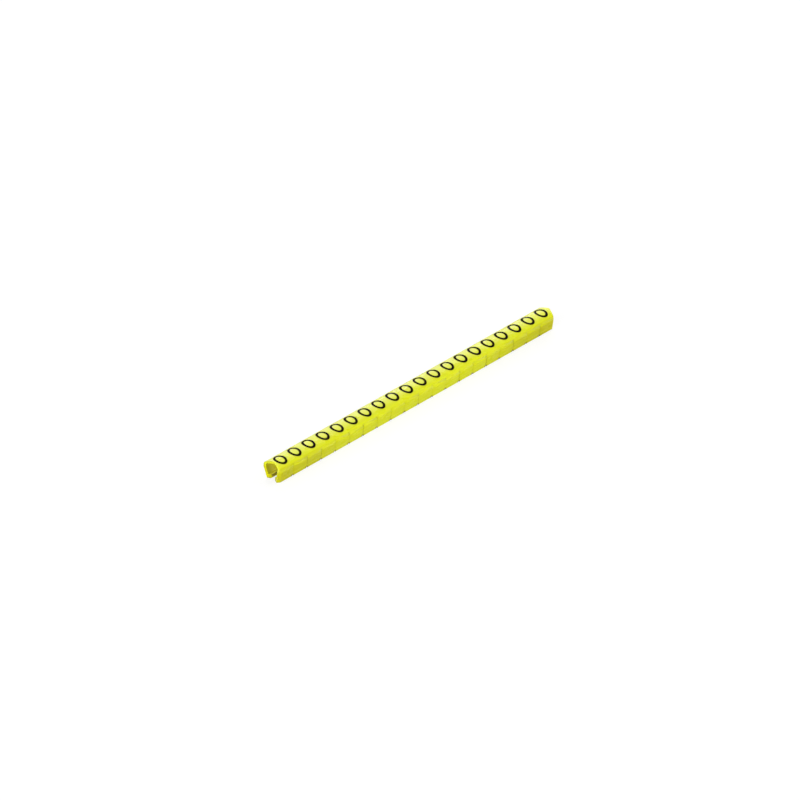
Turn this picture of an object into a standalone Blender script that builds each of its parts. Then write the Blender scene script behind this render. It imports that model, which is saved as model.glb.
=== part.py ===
"""A strip of clip-on cable markers: an open-slit plastic profile with chevron-cut ends and part-cuts.

The strip lies along X on its two lips, slit down, print side up. The origin is under its middle.
"""

import bmesh
import bpy
from math import acos, atan2, ceil, cos, radians, sin, sqrt

MM = 0.001

# Strip
MARKERS = 20
PITCH = 3.0 * MM
CHEVRON_DEPTH = 0.76 * MM

# Outer section, from the feet up: walls that lean out to an arris, a band above it, and a crowned top
FOOT_WIDTH = 2.46 * MM
ARRIS_HEIGHT = 2.07 * MM
ARRIS_WIDTH = 3.46 * MM
BAND_HEIGHT = 0.77 * MM
SHOULDER_WIDTH = 3.28 * MM
CROWN_RISE = 0.35 * MM

# Inner section: the wire channel and the slit it is clipped on through
WALL = 0.34 * MM
ROOF = 0.38 * MM
LIP_THICKNESS = 0.70 * MM
SLIT_WIDTH = 1.10 * MM

# Rounding of the section's corners
SHOULDER_RADIUS = 0.42 * MM
ARRIS_RADIUS = 0.10 * MM
FOOT_RADIUS = 0.15 * MM
LIP_RADIUS = 0.15 * MM
LIP_TOP_RADIUS = 0.12 * MM
INNER_RADIUS = 0.18 * MM

# Part-cuts between markers: from the feet up through the walls, leaving the roof whole
CUT_WIDTH = 0.07 * MM
CUT_ROOF_LEFT = 0.20 * MM
NOTCH_WIDTH = 0.30 * MM
NOTCH_HEIGHT = 0.24 * MM

# Fineness of the curves, and the straight that a fillet gets beside it, in radii
CROWN_STEPS = 6
CORNER_STEP = radians(15)
SHARP_ANGLE = radians(32)
FILLET_ROOM = 1.5

CLEARANCE = 1.0 * MM
LENGTH = MARKERS * PITCH
SHOULDER_HEIGHT = ARRIS_HEIGHT + BAND_HEIGHT
CROWN_HEIGHT = SHOULDER_HEIGHT + CROWN_RISE
CROWN_RADIUS = ((SHOULDER_WIDTH / 2) ** 2 + CROWN_RISE**2) / (2 * CROWN_RISE)


def chevron(y):
    """How far a cut stands forward, along the strip, at this distance from the centre line."""
    return CHEVRON_DEPTH * (1 - 2 * abs(y) / ARRIS_WIDTH)


def crown_point(y, radius):
    """A point of the crowned top, or of the channel's roof under it."""
    return (y, CROWN_HEIGHT - CROWN_RADIUS + sqrt(radius**2 - y**2), 0)


def crown_arc(reach, radius):
    """Points of the crown from the centre line out to where its shoulder begins to round."""
    return [crown_point(reach * i / CROWN_STEPS, radius) for i in range(CROWN_STEPS + 1)]


def wall_half_width(z):
    """Half the outer width of the lower walls at this height."""
    return (FOOT_WIDTH + (ARRIS_WIDTH - FOOT_WIDTH) * z / ARRIS_HEIGHT) / 2


def round_corner(before, corner, after):
    """The points of the arc that rounds one corner of an outline."""
    y, z, radius = corner
    to_before = atan2(before[1] - z, before[0] - y)
    to_after = atan2(after[1] - z, after[0] - y)
    opening = acos(cos(to_after - to_before))
    side = 1 if sin(to_after - to_before) > 0 else -1
    middle = to_before + side * opening / 2
    reach = radius / sin(opening / 2)
    centre = (y + reach * cos(middle), z + reach * sin(middle))
    turn = radians(180) - opening
    steps = max(1, ceil(turn / CORNER_STEP))
    start = middle + radians(180) + side * turn / 2
    angles = [start - side * turn * i / steps for i in range(steps + 1)]
    return [(centre[0] + radius * cos(a), centre[1] + radius * sin(a)) for a in angles]


def half_section():
    """One half of the section, from the top of the crown round the foot and lip to the channel's roof."""
    roof_edge = SHOULDER_WIDTH / 2 - WALL
    crown_reach = SHOULDER_WIDTH / 2 - FILLET_ROOM * SHOULDER_RADIUS
    roof_reach = roof_edge - FILLET_ROOM * INNER_RADIUS
    corners = crown_arc(crown_reach, CROWN_RADIUS) + [
        (SHOULDER_WIDTH / 2, SHOULDER_HEIGHT, SHOULDER_RADIUS),
        (ARRIS_WIDTH / 2, ARRIS_HEIGHT, ARRIS_RADIUS),
        (FOOT_WIDTH / 2, 0, FOOT_RADIUS),
        (SLIT_WIDTH / 2, 0, LIP_RADIUS),
        (SLIT_WIDTH / 2, LIP_THICKNESS, LIP_TOP_RADIUS),
        (wall_half_width(LIP_THICKNESS) - WALL, LIP_THICKNESS, INNER_RADIUS),
        (ARRIS_WIDTH / 2 - WALL, ARRIS_HEIGHT, ARRIS_RADIUS),
        crown_point(roof_edge, CROWN_RADIUS - ROOF)[:2] + (INNER_RADIUS,),
    ] + crown_arc(roof_reach, CROWN_RADIUS - ROOF)[::-1]
    outline = []
    for i, corner in enumerate(corners):
        if corner[2]:
            outline += round_corner(corners[i - 1], corner, corners[i + 1])
        else:
            outline.append(corner[:2])
    return outline


def new_object(name, bm):
    """An object from a bmesh, with its faces turned outwards."""
    bmesh.ops.recalc_face_normals(bm, faces=bm.faces)
    mesh = bpy.data.meshes.new(name)
    bm.to_mesh(mesh)
    bm.free()
    obj = bpy.data.objects.new(name, mesh)
    bpy.context.scene.collection.objects.link(obj)
    return obj


def extruded_strip():
    """The whole strip before its part-cuts: the section extruded along X, both ends cut to the chevron."""
    bm = bmesh.new()
    half = half_section()
    full = half + [(-y, z) for y, z in half[-2:0:-1]]
    start = -(LENGTH + CHEVRON_DEPTH) / 2
    rings = []
    for x in (start, start + LENGTH):
        rings.append([bm.verts.new((x + chevron(y), y, z)) for y, z in full])
    for i in range(len(full)):
        j = (i + 1) % len(full)
        bm.faces.new((rings[0][i], rings[0][j], rings[1][j], rings[1][i]))
    for ring in rings:
        bm.faces.new(ring[: len(half)])
        bm.faces.new(ring[len(half) - 1 :] + ring[:1])
    return new_object("marker_strip", bm)


def cut_profile():
    """One part-cut, seen across the strip: a thin slot that flares to a notch under the feet."""
    top = SHOULDER_HEIGHT - CUT_ROOF_LEFT
    flare = (NOTCH_WIDTH - CUT_WIDTH) / 2 / NOTCH_HEIGHT
    half_bottom = NOTCH_WIDTH / 2 + flare * CLEARANCE
    right = [(CUT_WIDTH / 2, top), (CUT_WIDTH / 2, NOTCH_HEIGHT), (half_bottom, -CLEARANCE)]
    return right + [(-x, z) for x, z in right[::-1]]


def part_cutters():
    """All the part-cuts as one cutter: each is a chevron-bent slot between two markers."""
    bm = bmesh.new()
    reach = ARRIS_WIDTH / 2 + CLEARANCE
    start = -(LENGTH + CHEVRON_DEPTH) / 2
    profile = cut_profile()
    for marker in range(1, MARKERS):
        joint = start + marker * PITCH
        rings = []
        for y in (-reach, 0, reach):
            rings.append([bm.verts.new((joint + chevron(y) + x, y, z)) for x, z in profile])
        for first, second in zip(rings, rings[1:]):
            for i in range(len(profile)):
                j = (i + 1) % len(profile)
                bm.faces.new((first[i], first[j], second[j], second[i]))
        bm.faces.new(rings[0])
        bm.faces.new(rings[-1])
    cutter = new_object("part_cutters", bm)
    cutter.hide_render = True
    cutter.display_type = "WIRE"
    return cutter


def yellow_plastic():
    """Soft yellow plastic of the profile."""
    material = bpy.data.materials.new("marker_yellow")
    material.use_nodes = True
    shader = material.node_tree.nodes["Principled BSDF"]
    shader.inputs["Base Color"].default_value = (0.78, 0.80, 0.04, 1)
    shader.inputs["Roughness"].default_value = 0.38
    shader.inputs["Metallic"].default_value = 0
    return material


def build():
    for obj in list(bpy.data.objects):
        bpy.data.objects.remove(obj, do_unlink=True)
    strip = extruded_strip()
    cut = strip.modifiers.new("part_cuts", "BOOLEAN")
    cut.operation = "DIFFERENCE"
    cut.solver = "EXACT"
    cut.object = part_cutters()
    strip.data.shade_smooth()
    strip.data.set_sharp_from_angle(angle=SHARP_ANGLE)
    strip.data.materials.append(yellow_plastic())


build()
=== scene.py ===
"""The looks of a strip of clip-on cable markers: soft yellow plastic, black print, a floor and light."""

from math import cos, pi, radians, sin, sqrt
from random import Random

import bmesh
import bpy
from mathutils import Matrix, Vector


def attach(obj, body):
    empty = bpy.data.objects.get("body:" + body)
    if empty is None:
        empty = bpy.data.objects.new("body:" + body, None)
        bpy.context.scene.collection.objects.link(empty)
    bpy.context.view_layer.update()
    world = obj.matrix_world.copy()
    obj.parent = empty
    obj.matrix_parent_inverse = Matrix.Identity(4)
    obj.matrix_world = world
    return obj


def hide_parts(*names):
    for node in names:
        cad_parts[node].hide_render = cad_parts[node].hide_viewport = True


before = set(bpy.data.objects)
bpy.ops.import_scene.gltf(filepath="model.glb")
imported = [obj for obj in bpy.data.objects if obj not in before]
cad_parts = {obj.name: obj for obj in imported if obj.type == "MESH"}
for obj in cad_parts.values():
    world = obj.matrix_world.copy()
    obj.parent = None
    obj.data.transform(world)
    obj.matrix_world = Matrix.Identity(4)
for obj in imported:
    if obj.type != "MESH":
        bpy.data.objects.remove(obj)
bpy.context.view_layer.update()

MM = 0.001

# The strip as it is made, in metres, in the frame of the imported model
MARKERS = 20
PITCH = 3.0 * MM
CHEVRON_DEPTH = 0.76 * MM
HALF_ARRIS = 1.73 * MM
CHEVRON_SLOPE = CHEVRON_DEPTH / HALF_ARRIS
START = -(MARKERS * PITCH + CHEVRON_DEPTH) / 2
CROWN_HEIGHT = 3.19 * MM
CROWN_RISE = 0.35 * MM
HALF_SHOULDER = 1.64 * MM
CROWN_RADIUS = (HALF_SHOULDER**2 + CROWN_RISE**2) / (2 * CROWN_RISE)

# The near wall's end, which the knife has left curled inwards
CURL = 0.30 * MM
CURL_LENGTH = 0.50 * MM
CURL_STEPS = 6
CURL_TOP = 2.75 * MM
CURL_FULL = 2.2 * MM

# The strip's mesh and its shading
WELD = 0.001 * MM
SMOOTH_ANGLE = radians(32)
AREA_WEIGHT = 100

# Colours: the print face, the painted shade on the sides and the ends of the walls (which the plastic's
# unevenness also mixes towards), painted shade at the channel's mouth and a painted glow further in, painted
# shade in the slit and along the part-cuts, and the ink
YELLOW = (0.76, 0.80, 0.012)
SHADED_AND_UNEVEN_YELLOW = (0.48, 0.44, 0.004)
PAINTED_CHANNEL_SHADE = (0.46, 0.42, 0.028)
PAINTED_CHANNEL_GLOW = (0.88, 0.84, 0.08)
SLIT_PAINTED_SHADE = (0.22, 0.18, 0.02)
CUT_PAINTED_SHADE = (0.10, 0.08, 0.003)
INK = (0.010, 0.007, 0.002)

# How much painted shade the sides get at the ends of the strip, and how far in that reaches
END_PAINTED_SHADE = 0.62
END_REACH = 20 * MM

# The heights between which the painted shade of the sides and then of the walls comes in, in millimetres
SIDE_HEIGHTS = (3.0, 2.7)
WALL_HEIGHTS = (2.3, 1.95)

# How the plastic varies: painted shade from marker to marker on the sides, and uneven colour in clouds and
# along draw lines
MARKER_PAINTED_SHADES = (0.02, 0.10)
CLOUD_TONES = (0.0, 0.05)
LINE_TONES = (0.0, 0.04)

# The plastic's noises, in cycles per millimetre along each axis, and the range that they mostly fill
DRAW_LINES = {"scale": (0.05, 7, 7), "detail": 2}
CLOUDS = {"scale": (0.35, 0.8, 0.8), "detail": 3}
GRAIN = {"scale": (9, 9, 9), "detail": 2}
NOISE_RANGE = (0.3, 0.7)

# The channel and the slit: where their painted shade and glow start and where they are full, in millimetres
MOUTH_DEPTHS = (0.03, 0.12)
CHANNEL_SIDES = (1.45, 1.30)
CHANNEL_FLOOR = (0.60, 0.68)
CHANNEL_ROOF = (2.85, 2.70)
CHANNEL_DEPTHS = (0.0, 1.8)
SLIT_SIDES = (0.62, 0.57)
SLIT_FEET = (0.20, 0.40)
SLIT_TOP = (0.90, 0.70)

# The painted shade of the part-cuts: where each starts to fade and where it ends, in millimetres
LINE_FADE = (0.03, 0.10)
NOTCH_FADE = (0.15, 0.36)
NOTCH_HEIGHTS = (0.2, 0.5)
MARK_HEIGHTS = (2.0, 2.7)

# The strength of a part-cut's line: of the draws from 0 to 1, those that show, and how strongly
SHOWING_DRAWS = (0.2, 1)
LINE_STRENGTHS = (0.0, 0.35)

# The plastic's surface and depth
FACE_SHINE = 0.5
SIDE_SHINE_LOSS = 0.28
WALL_SHINE_LOSS = 0.18
PLASTIC_ROUGHNESS = 0.3
ROUGHNESS_RANGE = (0.24, 0.34)
LINE_RELIEF = 0.004
GRAIN_RELIEF = 0.001
PLASTIC_IOR = 1.5
SUBSURFACE_WEIGHT = 0.8
SUBSURFACE_RADIUS = (1.0, 0.9, 0.15)
SUBSURFACE_SCALE = 0.5 * MM

# The ink's surface, and how far the plastic shows through it
INK_ROUGHNESS = 0.6
INK_SHINE = 0.02
THIN_INK_NOISE = (0.4, 0.8)
THIN_INK = (0.0, 0.02)

# The mark printed on each marker: a plain closed oval ring, upright and in the marker's middle
RING_HALF_WIDTH = 0.75 * MM
RING_HALF_HEIGHT = 1.05 * MM
RING_STROKE = 0.40 * MM
RING_STEPS = 64
INK_GAP = 0.001 * MM
INK_THICKNESS = 0.006 * MM
PRINT_DRIFT = 0.02 * MM
PRINT_SEED = 4

# The floor, as it lights the strip and as the camera sees it
FLOOR_HALF_SIDE = 2.0
FLOOR_TONE = 0.8
FLOOR_ROUGHNESS = 0.9
SEEN_FLOOR_TONE = 0.25
SEEN_FLOOR_GLOW = 0.78

# The photograph's frame and its camera
IMAGE_SIDE = 800
SENSOR = 36
CAMERA_AZIMUTH = -45
CAMERA_ELEVATION = 34.24
CAMERA_DISTANCE = 0.9347
CAMERA_CLIP = (0.01, 10)
FOCAL_PIXELS = 6047
CAMERA_AIM = (-1.974 * MM, -0.896 * MM)
AIM_HEIGHT = 1.4 * MM

# Light
WORLD_LIGHT = 0.42
BACKDROP_LOW = 0.6
BACKDROP_HIGH = 0.2
BACKDROP_ELEVATIONS = (15, 50)
LAMPS = {
    "left": {"azimuth": -85, "elevation": 15, "power": 3.1, "mirrored": False},
    "camera_side": {"azimuth": -45, "elevation": 30, "power": 0.75, "mirrored": False},
    "right": {"azimuth": 60, "elevation": 25, "power": 1.6, "mirrored": False},
    "back_low": {"azimuth": 142, "elevation": 14, "power": 0.75, "mirrored": True},
    "back_high": {"azimuth": 135, "elevation": 35, "power": 0.85, "mirrored": True},
}
LAMP_DISTANCE = 0.6
LAMP_SIZE = 0.45


def crown_height(y):
    """Height of the print face at this distance from the centre line."""
    return CROWN_HEIGHT - CROWN_RADIUS + sqrt(CROWN_RADIUS**2 - y**2)


def smooth_step(value, low, high):
    """0 below low, 1 above high and smooth in between."""
    share = min(max((value - low) / (high - low), 0), 1)
    return share * share * (3 - 2 * share)


def new_object(name, bm, material):
    """An object of this shape and material, linked to the scene."""
    mesh = bpy.data.meshes.new(name)
    bm.to_mesh(mesh)
    bm.free()
    mesh.materials.append(material)
    thing = bpy.data.objects.new(name, mesh)
    bpy.context.scene.collection.objects.link(thing)
    return thing


# Shader helpers


def add_node(tree, kind, **settings):
    """A node with its plain settings."""
    node = tree.nodes.new(kind)
    for name, value in settings.items():
        setattr(node, name, value)
    return node


def feed(tree, socket, value):
    """Gives a socket a link or a constant."""
    if isinstance(value, bpy.types.NodeSocket):
        tree.links.new(value, socket)
    else:
        socket.default_value = value


def calculate(tree, operation, *values):
    """A math node's result."""
    node = add_node(tree, "ShaderNodeMath", operation=operation)
    for socket, value in zip(node.inputs, values):
        feed(tree, socket, value)
    return node.outputs[0]


def product(tree, first, *others):
    """Several values multiplied."""
    for other in others:
        first = calculate(tree, "MULTIPLY", first, other)
    return first


def remap(tree, value, low, high, to_low=0.0, to_high=1.0):
    """A value mapped smoothly from one range to another."""
    node = add_node(tree, "ShaderNodeMapRange", interpolation_type="SMOOTHSTEP")
    node.inputs["From Min"].default_value = low
    node.inputs["From Max"].default_value = high
    node.inputs["To Min"].default_value = to_low
    node.inputs["To Max"].default_value = to_high
    tree.links.new(value, node.inputs["Value"])
    return node.outputs["Result"]


def fade(tree, value, low, high):
    """1 below low, 0 above high and smooth in between."""
    return remap(tree, value, low, high, 1.0, 0.0)


def random_draw(tree, number):
    """A draw from 0 to 1 that stays the same for the same number."""
    node = add_node(tree, "ShaderNodeTexWhiteNoise", noise_dimensions="1D")
    tree.links.new(number, node.inputs["W"])
    return node.outputs["Value"]


def mix_numbers(tree, factor, first, second):
    """Two numbers mixed, by a mix node's sockets for numbers."""
    node = add_node(tree, "ShaderNodeMix")
    feed(tree, node.inputs[0], factor)
    feed(tree, node.inputs[2], first)
    feed(tree, node.inputs[3], second)
    return node.outputs[0]


def mix_colours(tree, factor, first, second):
    """Two colours mixed, by a mix node's sockets for colours."""
    node = add_node(tree, "ShaderNodeMix", data_type="RGBA")
    feed(tree, node.inputs[0], factor)
    feed(tree, node.inputs[6], first)
    feed(tree, node.inputs[7], second)
    return node.outputs[2]


def new_group(name, *outputs):
    """A shader node group with float outputs, and its output node."""
    tree = bpy.data.node_groups.new(name, "ShaderNodeTree")
    for output in outputs:
        tree.interface.new_socket(output, in_out="OUTPUT", socket_type="NodeSocketFloat")
    return tree, add_node(tree, "NodeGroupOutput")


def use_group(tree, group):
    """A node that uses a group."""
    node = add_node(tree, "ShaderNodeGroup")
    node.node_tree = group
    return node


def new_material(name, colour, roughness):
    """A material with its shader's colour and roughness, and the node tree to build on."""
    material = bpy.data.materials.new(name)
    material.use_nodes = True
    shader = material.node_tree.nodes["Principled BSDF"]
    shader.inputs["Base Color"].default_value = (*colour, 1)
    shader.inputs["Roughness"].default_value = roughness
    return material, material.node_tree, shader


def stretched_noise(tree, scale, detail):
    """Noise on the object's own coordinates, scaled along each axis, per millimetre."""
    place = add_node(tree, "ShaderNodeTexCoord").outputs["Object"]
    mapping = add_node(tree, "ShaderNodeMapping")
    mapping.inputs["Scale"].default_value = [cycles / MM for cycles in scale]
    tree.links.new(place, mapping.inputs["Vector"])
    noise = add_node(tree, "ShaderNodeTexNoise")
    noise.inputs["Scale"].default_value = 1
    noise.inputs["Detail"].default_value = detail
    tree.links.new(mapping.outputs[0], noise.inputs["Vector"])
    return noise.outputs[0]


# The plastic and the ink


def strip_place():
    """A point's marker and nearest cut, and in millimetres its height and its distances."""
    tree, out = new_group("strip_place", "Marker", "Cut", "Cut Distance", "End Distance", "Height", "Across")
    place = add_node(tree, "ShaderNodeTexCoord").outputs["Object"]
    split = add_node(tree, "ShaderNodeSeparateXYZ")
    tree.links.new(place, split.inputs[0])
    x, y, z = split.outputs
    across = calculate(tree, "ABSOLUTE", y)
    forward = calculate(tree, "MULTIPLY_ADD", across, -CHEVRON_SLOPE, CHEVRON_DEPTH + START)
    along = calculate(tree, "DIVIDE", calculate(tree, "SUBTRACT", x, forward), PITCH)
    nearest = calculate(tree, "ROUND", along)
    tree.links.new(calculate(tree, "FLOOR", along), out.inputs["Marker"])
    tree.links.new(nearest, out.inputs["Cut"])
    off_cut = calculate(tree, "ABSOLUTE", calculate(tree, "SUBTRACT", along, nearest))
    tree.links.new(calculate(tree, "MULTIPLY", off_cut, PITCH / MM), out.inputs["Cut Distance"])
    off_end = calculate(tree, "MINIMUM", along, calculate(tree, "SUBTRACT", MARKERS, along))
    tree.links.new(calculate(tree, "MULTIPLY", off_end, PITCH / MM), out.inputs["End Distance"])
    tree.links.new(calculate(tree, "DIVIDE", z, MM), out.inputs["Height"])
    tree.links.new(calculate(tree, "DIVIDE", across, MM), out.inputs["Across"])
    return tree


def plastic_wear():
    """Unevenness of the plastic, around one half: draw lines along it, clouds in it and a fine grain."""
    tree, out = new_group("plastic_wear", "Lines", "Clouds", "Grain")
    tree.links.new(stretched_noise(tree, **DRAW_LINES), out.inputs["Lines"])
    tree.links.new(stretched_noise(tree, **CLOUDS), out.inputs["Clouds"])
    tree.links.new(stretched_noise(tree, **GRAIN), out.inputs["Grain"])
    return tree


def plastic_shade_unevenness_and_shine():
    """The plastic's shine, and from 0 to 1 how far its colour goes to the shaded yellow: painted shade on
    the sides, a little from marker to marker and more towards the ends, and uneven colour in clouds and draw
    lines.
    """
    tree, out = new_group("plastic_shade_unevenness_and_shine", "Depth", "Shine")
    place = use_group(tree, strip_place())
    wear = use_group(tree, plastic_wear())
    side = remap(tree, place.outputs["Height"], *SIDE_HEIGHTS)
    wall = remap(tree, place.outputs["Height"], *WALL_HEIGHTS)
    # Painted shade that changes from marker to marker, as each marker's wall is turned a little differently
    # to the light
    marker_shade = remap(tree, random_draw(tree, place.outputs["Marker"]), 0, 1, *MARKER_PAINTED_SHADES)
    towards_end = remap(tree, place.outputs["End Distance"], 0, END_REACH / MM, END_PAINTED_SHADE, 0.0)
    lower = calculate(tree, "MULTIPLY", calculate(tree, "ADD", side, wall), 0.5)
    # Painted shade on the sides: a little on each marker and more towards the strip's ends
    painted_shade = calculate(tree, "MULTIPLY", lower, calculate(tree, "ADD", marker_shade, towards_end))
    clouds = remap(tree, wear.outputs["Clouds"], *NOISE_RANGE, *CLOUD_TONES)
    lines = remap(tree, wear.outputs["Lines"], *NOISE_RANGE, *LINE_TONES)
    unevenness = calculate(tree, "ADD", clouds, lines)
    tree.links.new(calculate(tree, "ADD", painted_shade, unevenness), out.inputs["Depth"])
    side_shine = calculate(tree, "MULTIPLY_ADD", side, -SIDE_SHINE_LOSS, FACE_SHINE)
    shine = calculate(tree, "MULTIPLY_ADD", wall, -WALL_SHINE_LOSS, side_shine)
    tree.links.new(shine, out.inputs["Shine"])
    return tree


def channel_place():
    """Whether a point is in the channel or on a side of the slit, where shade and glow are painted, and how
    far in it is from the mouth.
    """
    tree, out = new_group("channel_place", "Channel", "Slit", "Inside")
    place = use_group(tree, strip_place())
    height = place.outputs["Height"]
    across = place.outputs["Across"]
    from_end = place.outputs["End Distance"]
    off_mouth = remap(tree, from_end, *MOUTH_DEPTHS)
    narrow = remap(tree, across, *CHANNEL_SIDES)
    above_lips = remap(tree, height, *CHANNEL_FLOOR)
    under_roof = remap(tree, height, *CHANNEL_ROOF)
    tree.links.new(product(tree, off_mouth, narrow, above_lips, under_roof), out.inputs["Channel"])
    beside_slit = remap(tree, across, *SLIT_SIDES)
    above_feet = remap(tree, height, *SLIT_FEET)
    under_lip_top = remap(tree, height, *SLIT_TOP)
    tree.links.new(product(tree, off_mouth, beside_slit, above_feet, under_lip_top), out.inputs["Slit"])
    tree.links.new(remap(tree, from_end, *CHANNEL_DEPTHS), out.inputs["Inside"])
    return tree


def part_cut_painted_shade():
    """Painted shade in the part-cuts: a line of its own strength on each, and a notch under the feet."""
    tree, out = new_group("part_cut_painted_shade", "Mark")
    place = use_group(tree, strip_place())
    height = place.outputs["Height"]
    cut = place.outputs["Cut"]
    off_cut = place.outputs["Cut Distance"]
    strength = remap(tree, random_draw(tree, cut), *SHOWING_DRAWS, *LINE_STRENGTHS)
    line = product(tree, fade(tree, off_cut, *LINE_FADE), strength)
    notch = product(tree, fade(tree, off_cut, *NOTCH_FADE), fade(tree, height, *NOTCH_HEIGHTS))
    below_band = fade(tree, height, *MARK_HEIGHTS)
    # Painted shade in each part-cut, kept below the band
    mark = product(tree, calculate(tree, "MAXIMUM", line, notch), below_band)
    after_start = calculate(tree, "GREATER_THAN", cut, 0.5)
    before_end = calculate(tree, "LESS_THAN", cut, MARKERS - 0.5)
    between = product(tree, after_start, before_end)
    tree.links.new(product(tree, mark, between), out.inputs["Mark"])
    return tree


def plastic_colour(tree, depth, channel):
    """The plastic's colour: the face with painted shade on the sides, painted shade and glow in the channel,
    painted shade in the slit, and painted shade along the part-cuts on top.
    """
    painted_cut_shade = use_group(tree, part_cut_painted_shade())
    # The sides take painted shade, and the plastic's unevenness, towards the shaded yellow
    colour = mix_colours(tree, depth.outputs["Depth"], (*YELLOW, 1), (*SHADED_AND_UNEVEN_YELLOW, 1))
    # Painted shade at the channel's mouth, brightening to a painted glow further in
    channel_shade_and_glow = mix_colours(tree, channel.outputs["Inside"], (*PAINTED_CHANNEL_SHADE, 1), (*PAINTED_CHANNEL_GLOW, 1))
    colour = mix_colours(tree, channel.outputs["Channel"], colour, channel_shade_and_glow)
    # Painted shade on the lips' faces beside the slit, where the floor keeps out the light
    colour = mix_colours(tree, channel.outputs["Slit"], colour, (*SLIT_PAINTED_SHADE, 1))
    # Painted shade along the part-cuts, over everything else
    return mix_colours(tree, painted_cut_shade.outputs["Mark"], colour, (*CUT_PAINTED_SHADE, 1))


def fine_relief(tree, wear):
    """The normal of the draw lines and the grain."""
    grain = calculate(tree, "MULTIPLY", wear.outputs["Grain"], GRAIN_RELIEF)
    relief = calculate(tree, "MULTIPLY_ADD", wear.outputs["Lines"], LINE_RELIEF, grain)
    bump = add_node(tree, "ShaderNodeBump")
    bump.inputs["Strength"].default_value = 1
    bump.inputs["Distance"].default_value = MM
    tree.links.new(relief, bump.inputs["Height"])
    return bump.outputs["Normal"]


def soft_yellow_plastic():
    """Soft yellow plastic, as extruded and cut, that lets a little light through."""
    material, tree, shader = new_material("soft_yellow_plastic", YELLOW, PLASTIC_ROUGHNESS)
    wear = use_group(tree, plastic_wear())
    depth = use_group(tree, plastic_shade_unevenness_and_shine())
    channel = use_group(tree, channel_place())
    tree.links.new(plastic_colour(tree, depth, channel), shader.inputs["Base Color"])
    roughness = remap(tree, wear.outputs["Clouds"], *NOISE_RANGE, *ROUGHNESS_RANGE)
    tree.links.new(roughness, shader.inputs["Roughness"])
    open_air = calculate(tree, "SUBTRACT", 1, channel.outputs["Channel"])
    shine = calculate(tree, "MULTIPLY", depth.outputs["Shine"], open_air)
    tree.links.new(shine, shader.inputs["Specular IOR Level"])
    tree.links.new(fine_relief(tree, wear), shader.inputs["Normal"])
    shader.inputs["IOR"].default_value = PLASTIC_IOR
    shader.inputs["Subsurface Weight"].default_value = SUBSURFACE_WEIGHT
    shader.inputs["Subsurface Radius"].default_value = SUBSURFACE_RADIUS
    shader.inputs["Subsurface Scale"].default_value = SUBSURFACE_SCALE
    return material


def marking_ink():
    """Black marking ink, thinner in places."""
    material, tree, shader = new_material("marking_ink", INK, INK_ROUGHNESS)
    wear = use_group(tree, plastic_wear())
    thin = remap(tree, wear.outputs["Clouds"], *THIN_INK_NOISE, *THIN_INK)
    tree.links.new(mix_colours(tree, thin, (*INK, 1), (*YELLOW, 1)), shader.inputs["Base Color"])
    shader.inputs["Specular IOR Level"].default_value = INK_SHINE
    return material


# The strip


def near_left_end(face):
    """Whether a face is on the near side and reaches into the first marker."""
    reaches_in = min(vert.co.x for vert in face.verts) < START + PITCH
    return reaches_in and face.calc_center_median().y < 0


def slice_near_end(bm):
    """Cuts the near wall's end into steps parallel to the chevron, so that it can curl."""
    for step in range(1, CURL_STEPS + 1):
        tip = (START + CHEVRON_DEPTH + CURL_LENGTH * step / CURL_STEPS, 0, 0)
        faces = [face for face in bm.faces if near_left_end(face)]
        edges = dict.fromkeys(edge for face in faces for edge in face.edges)
        verts = dict.fromkeys(vert for face in faces for vert in face.verts)
        parts = [*verts, *edges, *faces]
        across = (1, -CHEVRON_SLOPE, 0)
        bmesh.ops.bisect_plane(bm, geom=parts, dist=WELD / 10, plane_co=tip, plane_no=across)


def curl_near_end(bm):
    """Bends the near wall's end inwards, most at the cut and not at all under the shoulder."""
    for vert in bm.verts:
        if vert.co.y < 0:
            from_cut = vert.co.x - CHEVRON_SLOPE * vert.co.y - START - CHEVRON_DEPTH
            near_end = 1 - smooth_step(from_cut, 0, CURL_LENGTH)
            low = 1 - smooth_step(vert.co.z, CURL_FULL, CURL_TOP)
            vert.co.y += CURL * near_end * low


def shade_by_area(strip):
    """Smooth shading in which the large faces stay flat and the sharp edges stay sharp."""
    strip.data.shade_smooth()
    strip.data.set_sharp_from_angle(angle=SMOOTH_ANGLE)
    normals = strip.modifiers.new("area_normals", "WEIGHTED_NORMAL")
    normals.mode = "FACE_AREA"
    normals.weight = AREA_WEIGHT
    normals.keep_sharp = True


def plastic_strip(solid, plastic):
    """The CAD strip, its near wall curled inwards at the end that faces the camera."""
    bm = bmesh.new()
    bm.from_mesh(solid.data)
    bmesh.ops.transform(bm, matrix=solid.matrix_world, verts=bm.verts)
    bmesh.ops.remove_doubles(bm, verts=bm.verts, dist=WELD)
    slice_near_end(bm)
    curl_near_end(bm)
    strip = new_object("plastic_strip", bm, plastic)
    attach(strip, "root")
    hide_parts("marker_strip")
    shade_by_area(strip)


# The printed rings


def flat_ring():
    """A flat round ring with the stroke's width, as wide as the printed ring."""
    bm = bmesh.new()
    inner = bm.verts.new((RING_HALF_WIDTH - RING_STROKE / 2, 0, 0))
    outer = bm.verts.new((RING_HALF_WIDTH + RING_STROKE / 2, 0, 0))
    edge = bm.edges.new((inner, outer))
    bmesh.ops.spin(
        bm,
        geom=[inner, outer, edge],
        cent=(0, 0, 0),
        axis=(0, 0, 1),
        angle=2 * pi,
        steps=RING_STEPS,
        use_merge=True,
    )
    return bm


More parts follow.
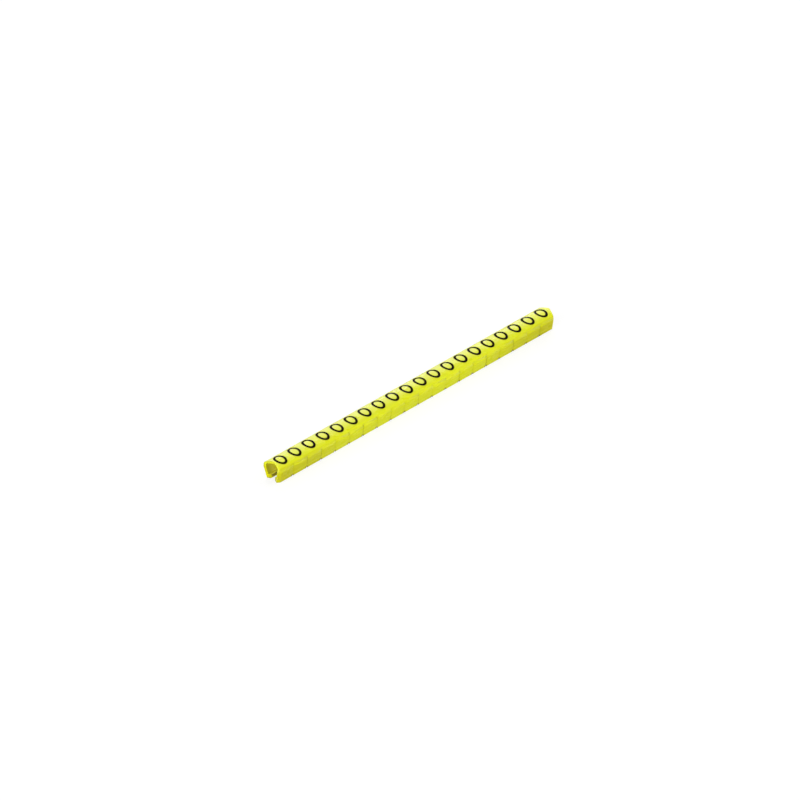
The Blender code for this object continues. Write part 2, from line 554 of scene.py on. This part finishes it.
def printed_ring(marker, drift, ink):
    """The closed ring printed on one marker, drawn out to an oval and laid on the crowned face."""
    bm = flat_ring()
    middle = START + (marker + 0.5) * PITCH + CHEVRON_DEPTH / 2 + drift[0]
    for vert in bm.verts:
        radius = vert.co.length
        stretch = (radius + RING_HALF_HEIGHT - RING_HALF_WIDTH) / radius
        y = vert.co.y * stretch + drift[1]
        vert.co = (middle + vert.co.x, y, crown_height(y) + INK_GAP)
    bmesh.ops.recalc_face_normals(bm, faces=bm.faces)
    bmesh.ops.solidify(bm, geom=bm.faces[:], thickness=INK_THICKNESS)
    lowest = min(vert.co.z - crown_height(vert.co.y) for vert in bm.verts)
    bmesh.ops.translate(bm, verts=bm.verts, vec=(0, 0, INK_GAP - lowest))
    bmesh.ops.recalc_face_normals(bm, faces=bm.faces)
    ring = new_object(f"printed_ring_{marker + 1:02d}", bm, ink)
    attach(ring, "root")


def print_rings(ink):
    """A ring on every marker, each drifting a little as a running print head leaves it."""
    random = Random(PRINT_SEED)
    for marker in range(MARKERS):
        drift = (random.uniform(-PRINT_DRIFT, PRINT_DRIFT), random.uniform(-PRINT_DRIFT, PRINT_DRIFT))
        printed_ring(marker, drift, ink)


# The stage


def seen_directly(tree):
    """One for a ray from the camera, or one that a mirror or glass passes on."""
    path = add_node(tree, "ShaderNodeLightPath")
    seen = calculate(tree, "MAXIMUM", path.outputs["Is Camera Ray"], path.outputs["Is Glossy Ray"])
    return calculate(tree, "MAXIMUM", seen, path.outputs["Is Transmission Ray"])


def plain_floor():
    """A pale floor that is white to the camera apart from a faint shadow."""
    material, tree, shader = new_material("pale_floor", (FLOOR_TONE,) * 3, FLOOR_ROUGHNESS)
    shader.inputs["Specular IOR Level"].default_value = 0
    white = add_node(tree, "ShaderNodeBsdfPrincipled")
    white.inputs["Base Color"].default_value = (*(SEEN_FLOOR_TONE,) * 3, 1)
    white.inputs["Specular IOR Level"].default_value = 0
    white.inputs["Emission Color"].default_value = (1, 1, 1, 1)
    white.inputs["Emission Strength"].default_value = SEEN_FLOOR_GLOW
    mix = add_node(tree, "ShaderNodeMixShader")
    tree.links.new(seen_directly(tree), mix.inputs[0])
    tree.links.new(shader.outputs[0], mix.inputs[1])
    tree.links.new(white.outputs[0], mix.inputs[2])
    tree.links.new(mix.outputs[0], tree.nodes["Material Output"].inputs["Surface"])
    return material


def make_floor():
    """The floor under the strip."""
    bm = bmesh.new()
    bmesh.ops.create_grid(bm, x_segments=1, y_segments=1, size=FLOOR_HALF_SIDE)
    new_object("floor", bm, plain_floor())


def make_world():
    """White to the camera, a backdrop that dims upwards in gloss, and a plain grey light on the strip."""
    world = bpy.data.worlds.new("studio")
    world.use_nodes = True
    tree = world.node_tree
    background = tree.nodes["Background"]
    background.inputs["Color"].default_value = (1, 1, 1, 1)
    split = add_node(tree, "ShaderNodeSeparateXYZ")
    tree.links.new(add_node(tree, "ShaderNodeTexCoord").outputs["Generated"], split.inputs[0])
    low, high = (sin(radians(elevation)) for elevation in BACKDROP_ELEVATIONS)
    backdrop = remap(tree, split.outputs["Z"], low, high, BACKDROP_LOW, BACKDROP_HIGH)
    path = add_node(tree, "ShaderNodeLightPath")
    unseen = mix_numbers(tree, path.outputs["Is Glossy Ray"], WORLD_LIGHT, backdrop)
    strength = mix_numbers(tree, path.outputs["Is Camera Ray"], unseen, 1)
    tree.links.new(strength, background.inputs["Strength"])
    bpy.context.scene.world = world


def direction(azimuth, elevation):
    """The way from the strip to a lamp or the camera. Azimuth 0 is in front of the strip, on -Y."""
    a = radians(azimuth)
    e = radians(elevation)
    return Vector((sin(a) * cos(e), -cos(a) * cos(e), sin(e)))


def make_lamp(name, azimuth, elevation, power, mirrored):
    """A soft square lamp aimed at the strip, which its gloss mirrors or not."""
    light = bpy.data.lights.new(name, "AREA")
    light.shape = "SQUARE"
    light.size = LAMP_SIZE
    light.energy = power
    lamp = bpy.data.objects.new(name, light)
    back = direction(azimuth, elevation)
    lamp.location = back * LAMP_DISTANCE
    lamp.rotation_euler = back.to_track_quat("Z", "Y").to_euler()
    lamp.visible_glossy = mirrored
    bpy.context.scene.collection.objects.link(lamp)


def make_camera():
    """The camera at the photograph's viewing angle."""
    data = bpy.data.cameras.new("camera")
    data.sensor_width = SENSOR
    data.lens = FOCAL_PIXELS / IMAGE_SIDE * SENSOR
    data.clip_start, data.clip_end = CAMERA_CLIP
    camera = bpy.data.objects.new("camera", data)
    back = direction(CAMERA_AZIMUTH, CAMERA_ELEVATION)
    turn = (-back).to_track_quat("-Z", "Y")
    right = turn @ Vector((1, 0, 0))
    up = turn @ Vector((0, 1, 0))
    aim = Vector((0, 0, AIM_HEIGHT)) + right * CAMERA_AIM[0] + up * CAMERA_AIM[1]
    camera.location = aim + back * CAMERA_DISTANCE
    camera.rotation_euler = turn.to_euler()
    bpy.context.scene.collection.objects.link(camera)
    bpy.context.scene.camera = camera


def main():
    plastic_strip(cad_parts["marker_strip"], soft_yellow_plastic())
    print_rings(marking_ink())
    make_floor()
    make_world()
    for name, lamp in LAMPS.items():
        make_lamp(name, **lamp)
    make_camera()
    bpy.context.scene.view_settings.view_transform = "Standard"


main()
